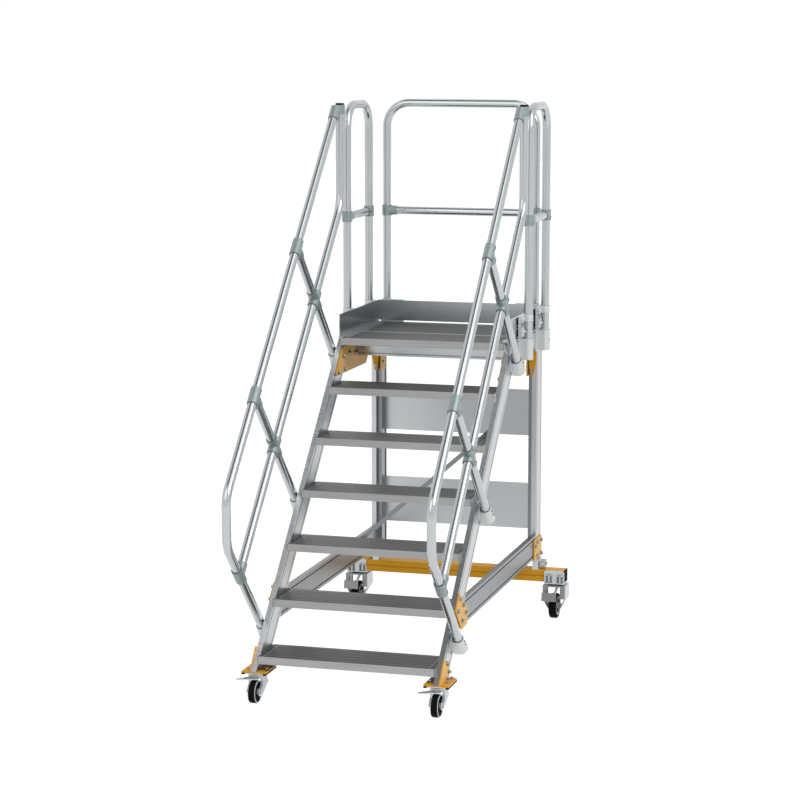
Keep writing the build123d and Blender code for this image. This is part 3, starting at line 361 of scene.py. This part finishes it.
def dress_nodes():
    """Gives each CAD node the finish of its material slot, or its own."""
    for part in frame["record"]["subparts"]:
        data = frame["nodes"][part["node"]].data
        data.materials.clear()
        data.materials.append(OWN_LOOKS.get(part["node"], MATERIALS[part["material_slot"]]))


# Small pieces: turned forms joined into one mesh a kind and body
SHARP_ANGLE = radians(32)
WELD = 0.00001
HEXAGON = 6
WASHER = 0.0016
WASHER_SHARE = 1.35
HEAD_SHARES = (0.78, 0.88)
THREAD_SHARE = 0.55
THREAD_TURNS = 4
BAR_SOFT = 0.0004
SEAM_SOFT = 0.0001


def turned(form, centre, axis, profile, segments=24):
    """Turns a profile of radii and heights, in metres, round an axis from the centre."""
    place = Matrix.Translation(centre) @ Vector(axis).to_track_quat("Z", "Y").to_matrix().to_4x4()
    rings = []
    for step in range(segments):
        turn = 2 * pi * step / segments
        rings.append([form.verts.new(place @ Vector((r * cos(turn), r * sin(turn), h))) for r, h in profile])
    for first, second in zip(rings, rings[1:] + rings[:1]):
        for low in range(len(profile) - 1):
            form.faces.new((first[low], second[low], second[low + 1], first[low + 1]))


def add_piece(name, form, body, slot, material=None):
    """Turns a finished form into a piece that rides on a body."""
    bmesh.ops.remove_doubles(form, verts=form.verts, dist=WELD)
    bmesh.ops.recalc_face_normals(form, faces=form.faces)
    data = bpy.data.meshes.new(name)
    form.to_mesh(data)
    form.free()
    data.shade_smooth()
    data.set_sharp_from_angle(angle=SHARP_ANGLE)
    data.materials.append(material or MATERIALS[slot])
    piece = bpy.data.objects.new(name, data)
    bpy.context.scene.collection.objects.link(piece)
    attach(piece, body)


def bolt(form, centre, axis, radius, height):
    """A washer and a hexagonal head with a chamfer, on a face."""
    washer = radius * WASHER_SHARE
    turned(form, centre, axis, [
        (0, 0), (washer, 0), (washer, WASHER * 0.75), (washer * 0.96, WASHER), (0, WASHER)])
    top = WASHER + height
    chamfer_start, chamfer_end = HEAD_SHARES
    turned(form, centre, axis, [
        (0, WASHER), (radius, WASHER), (radius, WASHER + height * chamfer_start), (radius * chamfer_end, top),
        (0, top)], HEXAGON)


def nut_and_stud(form, centre, axis, radius, height, stud):
    """A washer, a nut and the end of its threaded rod."""
    bolt(form, centre, axis, radius, height)
    base = WASHER + height
    thread = radius * THREAD_SHARE
    profile = [(0, base)]
    for turn in range(THREAD_TURNS):
        low = base + stud * turn / THREAD_TURNS
        profile += [(thread * 0.88, low), (thread, low + stud / THREAD_TURNS / 2)]
    profile += [(thread * 0.8, base + stud), (0, base + stud)]
    turned(form, centre, axis, profile, segments=16)


def ring(form, centre, axis, inner, outer, depth):
    """A thin ring with rounded edges."""
    soft = min(depth, outer - inner) * 0.25
    turned(form, centre, axis, [
        (inner, 0), (outer - soft, 0), (outer, soft), (outer, depth - soft), (outer - soft, depth), (inner, depth),
        (inner, 0)], segments=40)


def bar(form, low, high, soft=BAR_SOFT):
    """A small bar with softened edges between two corners."""
    low, high = [min(a, b) for a, b in zip(low, high)], [max(a, b) for a, b in zip(low, high)]
    size = [b - a for a, b in zip(low, high)]
    made = bmesh.ops.create_cube(form, size=1.0)["verts"]
    for vert in made:
        vert.co = Vector([a + (c + 0.5) * s for a, c, s in zip(low, vert.co, size)])
    edges = list({edge for vert in made for edge in vert.link_edges})
    soft = min(soft, min(size) * 0.3)
    bmesh.ops.bevel(form, geom=edges, offset=soft, segments=1, affect="EDGES")


def pair_of_bars(form, low, high, soft=BAR_SOFT):
    """The same small bar on both sides, between two corners of the right one."""
    for side in SIDES:
        bar(form, on_side(side, low), on_side(side, high), soft)


# Bolts: places in millimetres, then radius and height of each kind of head, in metres
PLATE_OUTER = 430.0
OUTWARD_BOLTS = (
    # y, z
    (318.0, 447.0), (371.0, 407.0), (279.0, 399.0), (417.0, 363.0), (357.0, 339.0), (1843.0, 389.0),
    (1808.0, 372.0), (1846.0, 318.0), (1925.0, 386.0), (1925.0, 318.0), (97.0, 211.0),
)
STUD_PLACE = (PLATE_OUTER, 126.0, 168.0)
GUSSET_INNER = 394.0
UPPER_GUSSET_BOLTS = (
    # y, z
    (1188.0, 1297.0), (1285.0, 1301.0), (1261.0, 1367.0), (1359.0, 1373.0), (1448.0, 1360.0), (1610.0, 1340.0),
)
FRONT_PLATE_TOP = 142.0
PLATE_BOLTS = (
    # x, y
    (448.0, 112.0), (436.0, 92.0), (448.0, 40.0), (371.0, 44.0), (371.0, 104.0),
)
HEAD_FLANGE_BOLT = (399.0, 1829.0, 1246.0)
HEAD_BRACKET_BOLTS = ((372.0, 1863.0, 1262.0), (372.0, 1880.0, 1330.0))
CLAMP_HEIGHTS = (1487.5, 1550.5)
CLAMP_STEPS = (38.0, 76.0)
SIDE_CLAMP_X = 441.0
BACK_CLAMP_Y = 1959.0
OUTWARD_HEAD = (0.009, 0.0105)
GUSSET_HEAD = (0.009, 0.0095)
PLATE_HEAD = (0.0085, 0.0065)
FLANGE_HEAD = (0.0065, 0.0065)
BRACKET_HEAD = (0.0075, 0.0065)
CLAMP_HEAD = (0.006, 0.005)
STUD_NUT = (0.0085, 0.006, 0.006)


def add_bolts():
    """Bolts of the yellow plates, the castor brackets and the column heads."""
    form = bmesh.new()
    for side in SIDES:
        for y, z in OUTWARD_BOLTS:
            bolt(form, at(side * PLATE_OUTER, y, z), (side, 0, 0), *OUTWARD_HEAD)
        nut_and_stud(form, on_side(side, STUD_PLACE), (side, 0, 0), *STUD_NUT)
        for y, z in UPPER_GUSSET_BOLTS:
            bolt(form, at(side * GUSSET_INNER, y, z), (-side, 0, 0), *GUSSET_HEAD)
        for x, y in PLATE_BOLTS:
            bolt(form, at(side * x, y, FRONT_PLATE_TOP), UP, *PLATE_HEAD)
        bolt(form, on_side(side, HEAD_FLANGE_BOLT), (0, -1, 0), *FLANGE_HEAD)
        for place in HEAD_BRACKET_BOLTS:
            bolt(form, on_side(side, place), (-side, 0, 0), *BRACKET_HEAD)
    add_piece("bolts", form, "root", "zinc_steel", BOLT)


def add_clamp_bolts():
    """Bolts of the clamps that hold the rail posts to the toe boards."""
    form = bmesh.new()
    for side in SIDES:
        for z in CLAMP_HEIGHTS:
            for along in CLAMP_STEPS:
                for y in HOOP_POSTS:
                    bolt(form, at(side * SIDE_CLAMP_X, y - along, z), (side, 0, 0), *CLAMP_HEAD)
                bolt(form, at(side * (BACK_HOOP_X - along), BACK_CLAMP_Y, z), (0, 1, 0), *CLAMP_HEAD)
    add_piece("clamp_bolts", form, "root", "zinc_steel")


# Upright bolts of the rear castors: places from the castor's middle in millimetres, forms in metres
HANGING_ACROSS = (-36.5, -16.5, 19.5, 39.5)
HANGING_Y, HANGING_LOW = 1860.0, 182.0
SHANK_R, SHANK_LENGTH = 0.0045, 0.034
NUT_R = 0.0085
NUT_FORM = [(0, 0), (NUT_R, 0), (NUT_R, 0.0055), (0.0074, 0.0068), (0, 0.0068)]
HEAD_FORM = [(0, -0.0025), (NUT_R, -0.0025), (NUT_R, 0), (0, 0)]


def add_hanging_bolts():
    """The upright bolts that hold the rear castors, with their nuts, in front of the brackets; the shanks are real,
    and their dark grey is painted shade below the nuts.
    """
    shaded_shanks, nuts = bmesh.new(), bmesh.new()
    for side in SIDES:
        for across in HANGING_ACROSS:
            place = at(side * REAR_CASTOR_X + across, HANGING_Y, HANGING_LOW)
            turned(shaded_shanks, place, UP, [(0, 0), (SHANK_R, 0), (SHANK_R, SHANK_LENGTH), (0, SHANK_LENGTH)], segments=16)
            turned(nuts, place + Vector((0, 0, SHANK_LENGTH)), UP, NUT_FORM, HEXAGON)
            turned(nuts, place, UP, HEAD_FORM, segments=20)
    # Dark grey shanks: painted shade below the nuts
    add_piece("hanging_bolts", shaded_shanks, "root", "black_plastic", RING)
    add_piece("hanging_nuts", nuts, "root", "zinc_steel")


# Ends of fittings from a tube's middle and heights of mouths, in millimetres
SEAT = 0.5
SLEEVE_END, STUB_END = 42.0, 58.0
CUP_MOUTH = -80.0
HAND_TOP_MOUTH = 2508.6
HOOP_MOUTHS = (1987.0, 2038.4, 1449.4, 1533.4, 1566.4)
BACK_STUB_X = 328.6
SIDE_STUBS = ((1571.0, 1), (1834.0, -1))

# Seals round a tube, in metres: inner and outer radius, depth
TUBE_SEAL = (0.0202, 0.0225, 0.0010)
CUP_SEAL = (0.0202, 0.0225, 0.0012)
STUB_SEAL = (0.0202, 0.0221, 0.0008)


def add_mouth_rings():
    """Dark seals where tubes enter their fittings, cups and holders."""
    form = bmesh.new()
    for side in SIDES:
        x = side * RAIL_X
        for along in (LOW_POST, MIDDLE_POST, UPPER_POST):
            ring(form, on_stair(x, along, CUP_MOUTH - SEAT), ALONG_POST, *CUP_SEAL)
        for along in (MIDDLE_POST, UPPER_POST):
            for above in (HAND, KNEE):
                for way in SIDES:
                    ring(form, on_stair(x, along + way * SLEEVE_END - SEAT, above), ALONG_RAIL, *TUBE_SEAL)
                ring(form, on_stair(x, along, above - STUB_END - SEAT), ALONG_POST, *TUBE_SEAL)
            ring(form, on_stair(x, along, KNEE + STUB_END - SEAT), ALONG_POST, *TUBE_SEAL)
        for way in SIDES:
            ring(form, on_stair(x, LOW_POST, KNEE + way * SLEEVE_END - SEAT), ALONG_POST, *TUBE_SEAL)
        ring(form, on_stair(x, LOW_POST + STUB_END - SEAT, KNEE), ALONG_RAIL, *TUBE_SEAL)
        ring(form, at(x, HAND_TOP_Y, HAND_TOP_MOUTH), UP, *TUBE_SEAL)
        for y in HOOP_POSTS:
            for z in HOOP_MOUTHS:
                ring(form, at(side * HOOP_X, y, z), UP, *TUBE_SEAL)
        for z in HOOP_MOUTHS:
            ring(form, at(side * BACK_HOOP_X, BACK_HOOP_Y, z), UP, *TUBE_SEAL)
        ring(form, at(side * BACK_STUB_X, BACK_HOOP_Y, MID_RAIL), (-side, 0, 0), *STUB_SEAL)
        for y, way in SIDE_STUBS:
            ring(form, at(side * HOOP_X, y, MID_RAIL), (0, way, 0), *STUB_SEAL)
    add_piece("mouth_rings", form, "root", "black_plastic", RING)


# Socket screws: how far out they sit on a fitting, its stub and a cup, and from its middle, in millimetres
ON_FITTING, ON_STUB = 24.6, 23.8
ALONG_FITTING, ALONG_STUB = 30.0, 45.0
CUP_SCREWS = (
    # beyond the rail, above the noses
    (26.6, -100.0), (28.3, -125.0),
)
HAND_TOP_SCREW = 2531.0
HOOP_SCREWS = (1400.0, 2003.0)
SCREW_FORM = [
    (0, -0.001), (0.0042, -0.001), (0.0046, 0.0004), (0.0046, 0.0012), (0.0040, 0.0018), (0.0022, 0.0018),
    (0.0022, 0.0004), (0, 0.0004)]


def add_grub_screws():
    """Socket screws that hold the tubes in their fittings, on the side away from the stairway."""
    form = bmesh.new()

    def screw(centre, side):
        turned(form, centre, (side, 0, 0), SCREW_FORM, segments=18)

    for side in SIDES:
        x, stub_x = side * (RAIL_X + ON_FITTING), side * (RAIL_X + ON_STUB)
        for along in (MIDDLE_POST, UPPER_POST):
            for above in (HAND, KNEE):
                for way in SIDES:
                    screw(on_stair(x, along + way * ALONG_FITTING, above), side)
                screw(on_stair(stub_x, along, above - ALONG_STUB), side)
            screw(on_stair(stub_x, along, KNEE + ALONG_STUB), side)
        for way in SIDES:
            screw(on_stair(x, LOW_POST, KNEE + way * ALONG_FITTING), side)
        screw(on_stair(stub_x, LOW_POST + ALONG_STUB, KNEE), side)
        screw(at(x, HAND_TOP_Y, HAND_TOP_SCREW), side)
        for along in (LOW_POST, MIDDLE_POST, UPPER_POST):
            for beyond, above in CUP_SCREWS:
                screw(on_stair(side * (RAIL_X + beyond), along, above), side)
        for y in HOOP_POSTS:
            for z in HOOP_SCREWS:
                screw(at(side * (HOOP_X + ON_FITTING), y, z), side)
    add_piece("grub_screws", form, "root", "black_plastic", RING)


# Trim of treads and deck in millimetres: outer and inner x of each strip, and how far it sits in or stands out
CAP_X, CAP_SEAM_X = (399.8, 390.5), (399.9, 397.9)
EDGE_X, EDGE_SEAM_X = (374.6, 372.8), (372.7, 369.6)
DECK_EDGE_X, DECK_SEAM_X = (375.0, 372.6), (372.5, 370.6)
CAP_OUT, SEAM_OUT = 0.6, 0.9
SUNK = 0.5
SEAM_INSET = 0.2
EDGE_RISE, SEAM_RISE = 0.4, 0.3
STRIP_START, STRIP_END = 3.0, 223.0
DECK_END = 1936.0
JOINT_X = 370.0
JOINT_EDGE, JOINT_SEAM = (1514.0, 1521.5), (1521.6, 1526.0)
JOINT_RISE = 1.0
FASCIA_SEAM = ((377.5, 1461.6, 1356.0), (377.5, 1462.1, 1359.0))


def add_tread_trim():
    """End caps, edge strips painted light as highlights, and seams of the treads, the nosing and the deck."""
    caps, seams, edges = bmesh.new(), bmesh.new(), bmesh.new()
    fronts = [(step * STEP, (step + 1) * STEP, TREAD_HEIGHT) for step in range(TREADS)]
    for y, z, height in fronts + [(DECK_FRONT, DECK_TOP, DECK_THICK)]:
        outer, inner = CAP_X
        pair_of_bars(caps, (outer, y - CAP_OUT, z - height + SUNK), (inner, y + SUNK, z - SUNK))
        outer, inner = CAP_SEAM_X
        pair_of_bars(
            seams, (outer, y - SEAM_OUT, z - height + SEAM_INSET), (inner, y + SUNK, z - SEAM_INSET), SEAM_SOFT)

    strips = [(EDGE_X, EDGE_SEAM_X, y + STRIP_START, y + STRIP_END, z) for y, z, _ in fronts]
    strips.append((DECK_EDGE_X, DECK_SEAM_X, DECK_FRONT + STRIP_START, DECK_END, DECK_TOP))
    for edge_x, seam_x, start, end, z in strips:
        edge_rise = SEAM_RISE if z == DECK_TOP else EDGE_RISE
        pair_of_bars(edges, (edge_x[0], start, z - SUNK), (edge_x[1], end, z + edge_rise))
        pair_of_bars(seams, (seam_x[0], start, z - SUNK), (seam_x[1], end, z + SEAM_RISE), SEAM_SOFT)

    low = DECK_TOP - SUNK
    bar(edges, at(-JOINT_X, JOINT_EDGE[0], low), at(JOINT_X, JOINT_EDGE[1], DECK_TOP + JOINT_RISE))
    bar(seams, at(-JOINT_X, JOINT_SEAM[0], low), at(JOINT_X, JOINT_SEAM[1], DECK_TOP + SEAM_RISE), SEAM_SOFT)
    bar(seams, on_side(-1, FASCIA_SEAM[0]), on_side(1, FASCIA_SEAM[1]), SEAM_SOFT)
    add_piece("tread_caps", caps, "root", "tread_aluminium")
    # The edge strips carry painted highlights
    add_piece("tread_edge_highlights", edges, "root", "sheet_aluminium", EDGE_PAINTED_HIGHLIGHT)
    add_piece("tread_seams", seams, "root", "black_plastic", RING)


# Castors: places in millimetres, the axle's, the swivel's behind it and the race's; forms in metres
RACE_WALL, RACE_DEPTH = 0.002, 0.0062
CASTORS = {
    "front": dict(
        x=412.0, axle_y=-5.0, axle_z=50.0, trail=45.0, race_z=122.9, race_r=0.0275, hub_face=16.5, hub=[
            (0.0132, -0.0045), (0.0246, -0.0045), (0.0250, 0.0), (0.0436, 0.0), (0.0436, 0.0004),
            (0.0405, 0.0011), (0.0268, 0.0006), (0.0235, -0.0035), (0.0132, -0.0035), (0.0132, -0.0045)]),
    "rear": dict(
        x=REAR_CASTOR_X, axle_y=1882.5, axle_z=62.5, trail=28.0, race_z=166.9, race_r=0.0355, hub_face=12.0, hub=[
            (0.0162, 0.0), (0.0388, 0.0), (0.0388, 0.0030), (0.0350, 0.0048), (0.0205, 0.0026),
            (0.0162, 0.0056), (0.0162, 0.0)]),
}
KNOB_FACE = (462.0, 1910.5, 267.0)
KNOB_FORM = [(0, 0), (0.0095, 0), (0.0095, 0.0008), (0.0082, 0.0018), (0.004, 0.0022), (0, 0.0022)]


def add_castor_details():
    """Ball race rings, whose black is painted shade in the race's gap, and hub caps of the castors."""
    for end, castor in CASTORS.items():
        for side, word in ((-1, "left"), (1, "right")):
            x, axle_y = side * castor["x"], castor["axle_y"]
            form = bmesh.new()
            race = at(x, axle_y + castor["trail"], castor["race_z"])
            ring(form, race, UP, castor["race_r"], castor["race_r"] + RACE_WALL, RACE_DEPTH)
            add_piece(f"race_{end}_{word}", form, "root", "black_plastic")

            form = bmesh.new()
            for way in SIDES:
                face = at(x + way * castor["hub_face"], axle_y, castor["axle_z"])
                turned(form, face, (way, 0, 0), castor["hub"], segments=48)
            add_piece(f"hub_caps_{end}_{word}", form, f"wheel_{end}_{word}", "black_plastic")


def add_knob_caps():
    """Inserts in the star knobs of the clamps."""
    form = bmesh.new()
    for side in SIDES:
        turned(form, on_side(side, KNOB_FACE), (side, 0, 0), KNOB_FORM, segments=28)
    add_piece("knob_inserts", form, "root", "black_plastic")


# Studio
FLOOR_HALF = 40
FLOOR_COLOUR = (0.75, 0.75, 0.75, 1)
SEEN_FLOOR = (0.40, 0.40, 0.40, 1)
FLOOR_GLOW = 0.90
WHITE = (1.0, 1.0, 1.0)
OVERHEAD = Vector((-0.27, -0.15, 0.95)).normalized()
PATCH_EDGE = (0.945, 0.972)
PATCH_COLOUR = (0.10, 0.11, 0.12)
WORLD_LIGHT = 0.55
LAMP_TARGET = Vector((0, 0, 1.2))
LAMPS = (
    # name, place, size, power
    ("key", (5.5, -2.5, 6.5), 4.0, 230.0),
    ("fill", (-2.0, -6.0, 5.5), 5.0, 75.0),
    ("top", (1.9, -1.2, 8.2), 2.2, 22.0),
)


def seen_rays(tree):
    """1 for rays from the camera and for those that metal and glass send on."""
    path = tree.nodes.new("ShaderNodeLightPath")
    seen = calculate(tree, "MAXIMUM", path.outputs["Is Camera Ray"], path.outputs["Is Glossy Ray"])
    return calculate(tree, "MAXIMUM", seen, path.outputs["Is Transmission Ray"])


def add_floor():
    """A floor that looks white and still takes the shadow."""
    form = bmesh.new()
    bmesh.ops.create_grid(form, x_segments=1, y_segments=1, size=FLOOR_HALF)
    data = bpy.data.meshes.new("floor")
    form.to_mesh(data)
    form.free()
    floor = bpy.data.objects.new("floor", data)
    bpy.context.scene.collection.objects.link(floor)
    material, tree, shader = new_material("floor")
    shader.inputs["Base Color"].default_value = FLOOR_COLOUR
    shader.inputs["Roughness"].default_value = 1.0
    seen = add_node(tree, "ShaderNodeBsdfDiffuse", Color=SEEN_FLOOR)
    glow = add_node(tree, "ShaderNodeEmission", Color=(*WHITE, 1), Strength=FLOOR_GLOW)
    both = tree.nodes.new("ShaderNodeAddShader")
    choice = tree.nodes.new("ShaderNodeMixShader")
    for output, socket in (
            (seen.outputs[0], both.inputs[0]), (glow.outputs[0], both.inputs[1]), (seen_rays(tree), choice.inputs[0]),
            (shader.outputs[0], choice.inputs[1]), (both.outputs[0], choice.inputs[2]),
            (choice.outputs[0], tree.nodes["Material Output"].inputs["Surface"])):
        tree.links.new(output, socket)
    data.materials.append(material)


def add_world():
    """Plain light all round, seen as white with a dark patch overhead that bright metal mirrors."""
    world = bpy.data.worlds.new("studio")
    bpy.context.scene.world = world
    world.use_nodes = True
    tree = world.node_tree
    overhead = add_node(tree, "ShaderNodeVectorMath", operation="DOT_PRODUCT")
    tree.links.new(coordinates(tree, "Generated"), overhead.inputs[0])
    overhead.inputs[1].default_value = OVERHEAD
    background = tree.nodes["Background"]
    patch = spread(tree, overhead.outputs["Value"], *PATCH_EDGE)
    tree.links.new(blend(tree, patch, WHITE, PATCH_COLOUR), background.inputs["Color"])
    tree.links.new(spread(tree, seen_rays(tree), 0, 1, WORLD_LIGHT, 1.0), background.inputs["Strength"])


def add_lamps():
    """Soft lamps that face the part."""
    for name, place, size, power in LAMPS:
        lamp = bpy.data.lights.new(name, "AREA")
        lamp.size = size
        lamp.energy = power
        holder = bpy.data.objects.new(name, lamp)
        holder.location = place
        holder.rotation_euler = (Vector(place) - LAMP_TARGET).to_track_quat("Z", "Y").to_euler()
        bpy.context.scene.collection.objects.link(holder)


add_camera()
add_floor()
add_world()
add_lamps()
bpy.context.scene.view_settings.view_transform = "Standard"
dress_nodes()
add_bolts()
add_clamp_bolts()
add_hanging_bolts()
add_mouth_rings()
add_grub_screws()
add_tread_trim()
add_castor_details()
add_knob_caps()
